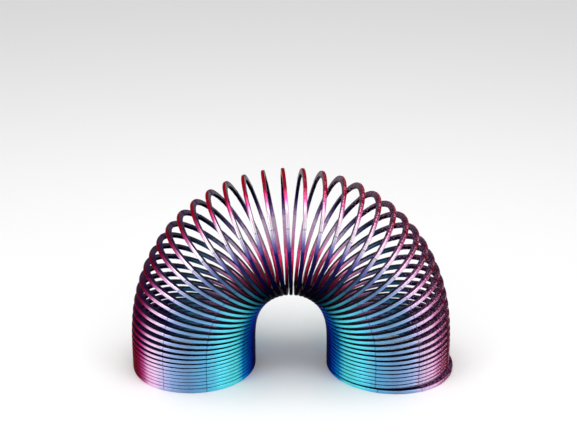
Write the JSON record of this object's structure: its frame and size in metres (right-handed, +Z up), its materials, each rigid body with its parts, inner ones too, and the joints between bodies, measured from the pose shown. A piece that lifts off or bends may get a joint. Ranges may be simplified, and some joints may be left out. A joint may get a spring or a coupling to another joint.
{
  "type": "spring coil toy",
  "caption": "Plated plastic coil of flat strip standing as an arch on its two feet; its turns fan open at the crown and lie shut in the feet",
  "frame": {"origin": "midway between the two feet, on the surface that the coil stands on", "axes": "+X from the left foot to the right foot, +Y to the back, +Z up"},
  "size_m": [0.172, 0.0666, 0.1099],
  "materials": {
    "plated_plastic": "vacuum-plated moulded plastic, high gloss; the colour runs round every turn from crimson through pink, lilac and cyan to navy"
  },
  "bodies": {
    "turn_01": {"turn_01": "plated_plastic"},
    "turn_02": {"turn_02": "plated_plastic"},
    "turn_03": {"turn_03": "plated_plastic"},
    "turn_04": {"turn_04": "plated_plastic"},
    "turn_05": {"turn_05": "plated_plastic"},
    "turn_06": {"turn_06": "plated_plastic"},
    "turn_07": {"turn_07": "plated_plastic"},
    "turn_08": {"turn_08": "plated_plastic"},
    "turn_09": {"turn_09": "plated_plastic"},
    "turn_10": {"turn_10": "plated_plastic"},
    "turn_11": {"turn_11": "plated_plastic"},
    "turn_12": {"turn_12": "plated_plastic"},
    "turn_13": {"turn_13": "plated_plastic"},
    "turn_14": {"turn_14": "plated_plastic"},
    "turn_15": {"turn_15": "plated_plastic"},
    "turn_16": {"turn_16": "plated_plastic"},
    "turn_17": {"turn_17": "plated_plastic"},
    "turn_18": {"turn_18": "plated_plastic"},
    "turn_19": {"turn_19": "plated_plastic"},
    "turn_20": {"turn_20": "plated_plastic"},
    "turn_21": {"turn_21": "plated_plastic"},
    "turn_22": {"turn_22": "plated_plastic"},
    "turn_23": {"turn_23": "plated_plastic"},
    "turn_24": {"turn_24": "plated_plastic"},
    "turn_25": {"turn_25": "plated_plastic"},
    "turn_26": {"turn_26": "plated_plastic"},
    "turn_27": {"turn_27": "plated_plastic"},
    "turn_28": {"turn_28": "plated_plastic"},
    "turn_29": {"turn_29": "plated_plastic"},
    "turn_30": {"turn_30": "plated_plastic"},
    "turn_31": {"turn_31": "plated_plastic"},
    "turn_32": {"turn_32": "plated_plastic"},
    "turn_33": {"turn_33": "plated_plastic"},
    "turn_34": {"turn_34": "plated_plastic"},
    "turn_35": {"turn_35": "plated_plastic"},
    "turn_36": {"turn_36": "plated_plastic"},
    "turn_37": {"turn_37": "plated_plastic"},
    "turn_38": {"turn_38": "plated_plastic"},
    "turn_39": {"turn_39": "plated_plastic"},
    "turn_40": {"turn_40": "plated_plastic"},
    "turn_41": {"turn_41": "plated_plastic"},
    "turn_42": {"turn_42": "plated_plastic"},
    "turn_43": {"turn_43": "plated_plastic"},
    "turn_44": {"turn_44": "plated_plastic"},
    "turn_45": {"turn_45": "plated_plastic"},
    "turn_46": {"turn_46": "plated_plastic"},
    "turn_47": {"turn_47": "plated_plastic"},
    "turn_48": {"turn_48": "plated_plastic"},
    "turn_49": {"turn_49": "plated_plastic"},
    "turn_50": {"turn_50": "plated_plastic"},
    "turn_51": {"turn_51": "plated_plastic"},
    "turn_52": {"turn_52": "plated_plastic"}
  },
  "joints": [
    {"name": "left_foot_fan", "type": "hinge", "parent": "turn_01", "child": "turn_02", "pos_m": [-0.02067, 0, 0.00188], "axis": [0, 1, 0], "range_deg": [0, 2.5], "stiffness_Nm_per_rad": 1},
    {"name": "swivel_03", "type": "hinge", "parent": "turn_02", "child": "turn_03", "pos_m": [-0.02067, 0, 0.00383], "axis": [0, 1, 0], "range_deg": [0, 2.51], "stiffness_Nm_per_rad": 1},
    {"name": "swivel_04", "type": "hinge", "parent": "turn_03", "child": "turn_04", "pos_m": [-0.02067, 0, 0.00578], "axis": [0, 1, 0], "range_deg": [0, 2.51], "stiffness_Nm_per_rad": 1},
    {"name": "swivel_05", "type": "hinge", "parent": "turn_04", "child": "turn_05", "pos_m": [-0.02067, 0, 0.00773], "axis": [0, 1, 0], "range_deg": [0, 2.51], "stiffness_Nm_per_rad": 1},
    {"name": "swivel_06", "type": "hinge", "parent": "turn_05", "child": "turn_06", "pos_m": [-0.02067, 0, 0.00968], "axis": [0, 1, 0], "range_deg": [0, 2.51], "stiffness_Nm_per_rad": 1},
    {"name": "swivel_07", "type": "hinge", "parent": "turn_06", "child": "turn_07", "pos_m": [-0.02066, 0, 0.01164], "axis": [0, 1, 0], "range_deg": [0, 2.51], "stiffness_Nm_per_rad": 1},
    {"name": "swivel_08", "type": "hinge", "parent": "turn_07", "child": "turn_08", "pos_m": [-0.02066, 0, 0.01361], "axis": [0, 1, 0], "range_deg": [0, 2.51], "stiffness_Nm_per_rad": 1},
    {"name": "swivel_09", "type": "hinge", "parent": "turn_08", "child": "turn_09", "pos_m": [-0.02063, 0, 0.0156], "axis": [0, 1, 0], "range_deg": [-0.73, 0.05], "stiffness_Nm_per_rad": 1},
    {"name": "swivel_10", "type": "hinge", "parent": "turn_09", "child": "turn_10", "pos_m": [-0.02058, 0, 0.0176], "axis": [0, 1, 0], "range_deg": [-1.08, 0.06], "stiffness_Nm_per_rad": 1},
    {"name": "swivel_11", "type": "hinge", "parent": "turn_10", "child": "turn_11", "pos_m": [-0.0205, 0, 0.01962], "axis": [0, 1, 0], "range_deg": [-1.48, 0.08], "stiffness_Nm_per_rad": 1},
    {"name": "swivel_12", "type": "hinge", "parent": "turn_11", "child": "turn_12", "pos_m": [-0.02035, 0, 0.02165], "axis": [0, 1, 0], "range_deg": [-1.92, 0.11], "stiffness_Nm_per_rad": 1},
    {"name": "swivel_13", "type": "hinge", "parent": "turn_12", "child": "turn_13", "pos_m": [-0.02014, 0, 0.0237], "axis": [0, 1, 0], "range_deg": [-2.38, 0.13], "stiffness_Nm_per_rad": 1},
    {"name": "swivel_14", "type": "hinge", "parent": "turn_13", "child": "turn_14", "pos_m": [-0.01983, 0, 0.02575], "axis": [0, 1, 0], "range_deg": [-2.85, 0.15], "stiffness_Nm_per_rad": 1},
    {"name": "swivel_15", "type": "hinge", "parent": "turn_14", "child": "turn_15", "pos_m": [-0.01942, 0, 0.02781], "axis": [0, 1, 0], "range_deg": [-3.34, 0.18], "stiffness_Nm_per_rad": 1},
    {"name": "swivel_16", "type": "hinge", "parent": "turn_15", "child": "turn_16", "pos_m": [-0.01888, 0, 0.02986], "axis": [0, 1, 0], "range_deg": [-3.82, 0.2], "stiffness_Nm_per_rad": 1},
    {"name": "swivel_17", "type": "hinge", "parent": "turn_16", "child": "turn_17", "pos_m": [-0.0182, 0, 0.03188], "axis": [0, 1, 0], "range_deg": [-4.3, 0.23], "stiffness_Nm_per_rad": 1},
    {"name": "swivel_18", "type": "hinge", "parent": "turn_17", "child": "turn_18", "pos_m": [-0.01736, 0, 0.03386], "axis": [0, 1, 0], "range_deg": [-4.77, 0.25], "stiffness_Nm_per_rad": 1},
    {"name": "swivel_19", "type": "hinge", "parent": "turn_18", "child": "turn_19", "pos_m": [-0.01634, 0, 0.03578], "axis": [0, 1, 0], "range_deg": [-5.21, 0.27], "stiffness_Nm_per_rad": 1},
    {"name": "swivel_20", "type": "hinge", "parent": "turn_19", "child": "turn_20", "pos_m": [-0.01515, 0, 0.03761], "axis": [0, 1, 0], "range_deg": [-5.62, 0.29], "stiffness_Nm_per_rad": 1},
    {"name": "swivel_21", "type": "hinge", "parent": "turn_20", "child": "turn_21", "pos_m": [-0.01376, 0, 0.03932], "axis": [0, 1, 0], "range_deg": [-6, 0.31], "stiffness_Nm_per_rad": 1},
    {"name": "swivel_22", "type": "hinge", "parent": "turn_21", "child": "turn_22", "pos_m": [-0.01219, 0, 0.04089], "axis": [0, 1, 0], "range_deg": [-6.34, 0.33], "stiffness_Nm_per_rad": 1},
    {"name": "swivel_23", "type": "hinge", "parent": "turn_22", "child": "turn_23", "pos_m": [-0.01045, 0, 0.04227], "axis": [0, 1, 0], "range_deg": [-6.64, 0.35], "stiffness_Nm_per_rad": 1},
    {"name": "swivel_24", "type": "hinge", "parent": "turn_23", "child": "turn_24", "pos_m": [-0.00854, 0, 0.04345], "axis": [0, 1, 0], "range_deg": [-6.88, 0.36], "stiffness_Nm_per_rad": 1},
    {"name": "swivel_25", "type": "hinge", "parent": "turn_24", "child": "turn_25", "pos_m": [-0.0065, 0, 0.04439], "axis": [0, 1, 0], "range_deg": [-7.07, 0.37], "stiffness_Nm_per_rad": 1},
    {"name": "swivel_26", "type": "hinge", "parent": "turn_25", "child": "turn_26", "pos_m": [-0.00435, 0, 0.04506], "axis": [0, 1, 0], "range_deg": [-7.21, 0.38], "stiffness_Nm_per_rad": 1},
    {"name": "swivel_27", "type": "hinge", "parent": "turn_26", "child": "turn_27", "pos_m": [-0.00213, 0, 0.04545], "axis": [0, 1, 0], "range_deg": [-7.29, 0.38], "stiffness_Nm_per_rad": 1},
    {"name": "left_arch_fan", "type": "hinge", "parent": "turn_27", "child": "turn_28", "pos_m": [0.00013, 0, 0.04556], "axis": [0, 1, 0], "range_deg": [-7.3, 0.37], "stiffness_Nm_per_rad": 1},
    {"name": "right_arch_fan", "type": "hinge", "parent": "turn_28", "child": "turn_29", "pos_m": [0.00238, 0, 0.04537], "axis": [0, 1, 0], "range_deg": [-7.25, 0.37], "stiffness_Nm_per_rad": 1},
    {"name": "swivel_30", "type": "hinge", "parent": "turn_29", "child": "turn_30", "pos_m": [0.00459, 0, 0.04489], "axis": [0, 1, 0], "range_deg": [-7.16, 0.38], "stiffness_Nm_per_rad": 1},
    {"name": "swivel_31", "type": "hinge", "parent": "turn_30", "child": "turn_31", "pos_m": [0.00672, 0, 0.04413], "axis": [0, 1, 0], "range_deg": [-7.01, 0.37], "stiffness_Nm_per_rad": 1},
    {"name": "swivel_32", "type": "hinge", "parent": "turn_31", "child": "turn_32", "pos_m": [0.00874, 0, 0.04311], "axis": [0, 1, 0], "range_deg": [-6.8, 0.36], "stiffness_Nm_per_rad": 1},
    {"name": "swivel_33", "type": "hinge", "parent": "turn_32", "child": "turn_33", "pos_m": [0.01062, 0, 0.04185], "axis": [0, 1, 0], "range_deg": [-6.54, 0.34], "stiffness_Nm_per_rad": 1},
    {"name": "swivel_34", "type": "hinge", "parent": "turn_33", "child": "turn_34", "pos_m": [0.01235, 0, 0.04038], "axis": [0, 1, 0], "range_deg": [-6.23, 0.33], "stiffness_Nm_per_rad": 1},
    {"name": "swivel_35", "type": "hinge", "parent": "turn_34", "child": "turn_35", "pos_m": [0.0139, 0, 0.03873], "axis": [0, 1, 0], "range_deg": [-5.88, 0.31], "stiffness_Nm_per_rad": 1},
    {"name": "swivel_36", "type": "hinge", "parent": "turn_35", "child": "turn_36", "pos_m": [0.01527, 0, 0.03692], "axis": [0, 1, 0], "range_deg": [-5.49, 0.29], "stiffness_Nm_per_rad": 1},
    {"name": "swivel_37", "type": "hinge", "parent": "turn_36", "child": "turn_37", "pos_m": [0.01645, 0, 0.03499], "axis": [0, 1, 0], "range_deg": [-5.07, 0.27], "stiffness_Nm_per_rad": 1},
    {"name": "swivel_38", "type": "hinge", "parent": "turn_37", "child": "turn_38", "pos_m": [0.01746, 0, 0.03297], "axis": [0, 1, 0], "range_deg": [-4.62, 0.25], "stiffness_Nm_per_rad": 1},
    {"name": "swivel_39", "type": "hinge", "parent": "turn_38", "child": "turn_39", "pos_m": [0.01829, 0, 0.03087], "axis": [0, 1, 0], "range_deg": [-4.15, 0.22], "stiffness_Nm_per_rad": 1},
    {"name": "swivel_40", "type": "hinge", "parent": "turn_39", "child": "turn_40", "pos_m": [0.01896, 0, 0.02873], "axis": [0, 1, 0], "range_deg": [-3.67, 0.2], "stiffness_Nm_per_rad": 1},
    {"name": "swivel_41", "type": "hinge", "parent": "turn_40", "child": "turn_41", "pos_m": [0.01949, 0, 0.02656], "axis": [0, 1, 0], "range_deg": [-3.19, 0.17], "stiffness_Nm_per_rad": 1},
    {"name": "swivel_42", "type": "hinge", "parent": "turn_41", "child": "turn_42", "pos_m": [0.01989, 0, 0.02437], "axis": [0, 1, 0], "range_deg": [-2.7, 0.15], "stiffness_Nm_per_rad": 1},
    {"name": "swivel_43", "type": "hinge", "parent": "turn_42", "child": "turn_43", "pos_m": [0.02018, 0, 0.02218], "axis": [0, 1, 0], "range_deg": [-2.23, 0.12], "stiffness_Nm_per_rad": 1},
    {"name": "swivel_44", "type": "hinge", "parent": "turn_43", "child": "turn_44", "pos_m": [0.02038, 0, 0.02], "axis": [0, 1, 0], "range_deg": [-1.78, 0.1], "stiffness_Nm_per_rad": 1},
    {"name": "swivel_45", "type": "hinge", "parent": "turn_44", "child": "turn_45", "pos_m": [0.02052, 0, 0.01783], "axis": [0, 1, 0], "range_deg": [-1.36, 0.08], "stiffness_Nm_per_rad": 1},
    {"name": "swivel_46", "type": "hinge", "parent": "turn_45", "child": "turn_46", "pos_m": [0.0206, 0, 0.01568], "axis": [0, 1, 0], "range_deg": [-0.97, 0.06], "stiffness_Nm_per_rad": 1},
    {"name": "swivel_47", "type": "hinge", "parent": "turn_46", "child": "turn_47", "pos_m": [0.02064, 0, 0.01354], "axis": [0, 1, 0], "range_deg": [-0.63, 0.04], "stiffness_Nm_per_rad": 1},
    {"name": "swivel_48", "type": "hinge", "parent": "turn_47", "child": "turn_48", "pos_m": [0.02066, 0, 0.01142], "axis": [0, 1, 0], "range_deg": [0, 2.51], "stiffness_Nm_per_rad": 1},
    {"name": "swivel_49", "type": "hinge", "parent": "turn_48", "child": "turn_49", "pos_m": [0.02067, 0, 0.00932], "axis": [0, 1, 0], "range_deg": [0, 2.51], "stiffness_Nm_per_rad": 1},
    {"name": "swivel_50", "type": "hinge", "parent": "turn_49", "child": "turn_50", "pos_m": [0.02067, 0, 0.00722], "axis": [0, 1, 0], "range_deg": [0, 2.51], "stiffness_Nm_per_rad": 1},
    {"name": "swivel_51", "type": "hinge", "parent": "turn_50", "child": "turn_51", "pos_m": [0.02067, 0, 0.00513], "axis": [0, 1, 0], "range_deg": [0, 2.51], "stiffness_Nm_per_rad": 1},
    {"name": "right_foot_fan", "type": "hinge", "parent": "turn_51", "child": "turn_52", "pos_m": [0.02067, 0, 0.00304], "axis": [0, 1, 0], "range_deg": [0, 2.5], "stiffness_Nm_per_rad": 1}
  ],
  "couplings": [
    {"joint": "swivel_03", "follows": "left_foot_fan", "ratio": 1},
    {"joint": "swivel_04", "follows": "left_foot_fan", "ratio": 1},
    {"joint": "swivel_05", "follows": "left_foot_fan", "ratio": 1},
    {"joint": "swivel_06", "follows": "left_foot_fan", "ratio": 1},
    {"joint": "swivel_07", "follows": "left_foot_fan", "ratio": 1},
    {"joint": "swivel_08", "follows": "left_foot_fan", "ratio": 1},
    {"joint": "swivel_09", "follows": "left_arch_fan", "ratio": 0.0981},
    {"joint": "swivel_10", "follows": "left_arch_fan", "ratio": 0.147},
    {"joint": "swivel_11", "follows": "left_arch_fan", "ratio": 0.2018},
    {"joint": "swivel_12", "follows": "left_arch_fan", "ratio": 0.2612},
    {"joint": "swivel_13", "follows": "left_arch_fan", "ratio": 0.3242},
    {"joint": "swivel_14", "follows": "left_arch_fan", "ratio": 0.3894},
    {"joint": "swivel_15", "follows": "left_arch_fan", "ratio": 0.4559},
    {"joint": "swivel_16", "follows": "left_arch_fan", "ratio": 0.5224},
    {"joint": "swivel_17", "follows": "left_arch_fan", "ratio": 0.588},
    {"joint": "swivel_18", "follows": "left_arch_fan", "ratio": 0.6515},
    {"joint": "swivel_19", "follows": "left_arch_fan", "ratio": 0.7121},
    {"joint": "swivel_20", "follows": "left_arch_fan", "ratio": 0.7688},
    {"joint": "swivel_21", "follows": "left_arch_fan", "ratio": 0.8208},
    {"joint": "swivel_22", "follows": "left_arch_fan", "ratio": 0.8673},
    {"joint": "swivel_23", "follows": "left_arch_fan", "ratio": 0.9076},
    {"joint": "swivel_24", "follows": "left_arch_fan", "ratio": 0.9412},
    {"joint": "swivel_25", "follows": "left_arch_fan", "ratio": 0.9676},
    {"joint": "swivel_26", "follows": "left_arch_fan", "ratio": 0.9863},
    {"joint": "swivel_27", "follows": "left_arch_fan", "ratio": 0.9972},
    {"joint": "swivel_30", "follows": "right_arch_fan", "ratio": 0.9867},
    {"joint": "swivel_31", "follows": "right_arch_fan", "ratio": 0.9655},
    {"joint": "swivel_32", "follows": "right_arch_fan", "ratio": 0.9368},
    {"joint": "swivel_33", "follows": "right_arch_fan", "ratio": 0.9009},
    {"joint": "swivel_34", "follows": "right_arch_fan", "ratio": 0.8584},
    {"joint": "swivel_35", "follows": "right_arch_fan", "ratio": 0.81},
    {"joint": "swivel_36", "follows": "right_arch_fan", "ratio": 0.7562},
    {"joint": "swivel_37", "follows": "right_arch_fan", "ratio": 0.6979},
    {"joint": "swivel_38", "follows": "right_arch_fan", "ratio": 0.636},
    {"joint": "swivel_39", "follows": "right_arch_fan", "ratio": 0.5715},
    {"joint": "swivel_40", "follows": "right_arch_fan", "ratio": 0.5052},
    {"joint": "swivel_41", "follows": "right_arch_fan", "ratio": 0.4382},
    {"joint": "swivel_42", "follows": "right_arch_fan", "ratio": 0.3716},
    {"joint": "swivel_43", "follows": "right_arch_fan", "ratio": 0.3066},
    {"joint": "swivel_44", "follows": "right_arch_fan", "ratio": 0.2443},
    {"joint": "swivel_45", "follows": "right_arch_fan", "ratio": 0.1857},
    {"joint": "swivel_46", "follows": "right_arch_fan", "ratio": 0.1323},
    {"joint": "swivel_47", "follows": "right_arch_fan", "ratio": 0.0852},
    {"joint": "swivel_48", "follows": "right_foot_fan", "ratio": 1},
    {"joint": "swivel_49", "follows": "right_foot_fan", "ratio": 1},
    {"joint": "swivel_50", "follows": "right_foot_fan", "ratio": 1},
    {"joint": "swivel_51", "follows": "right_foot_fan", "ratio": 1}
  ]
}
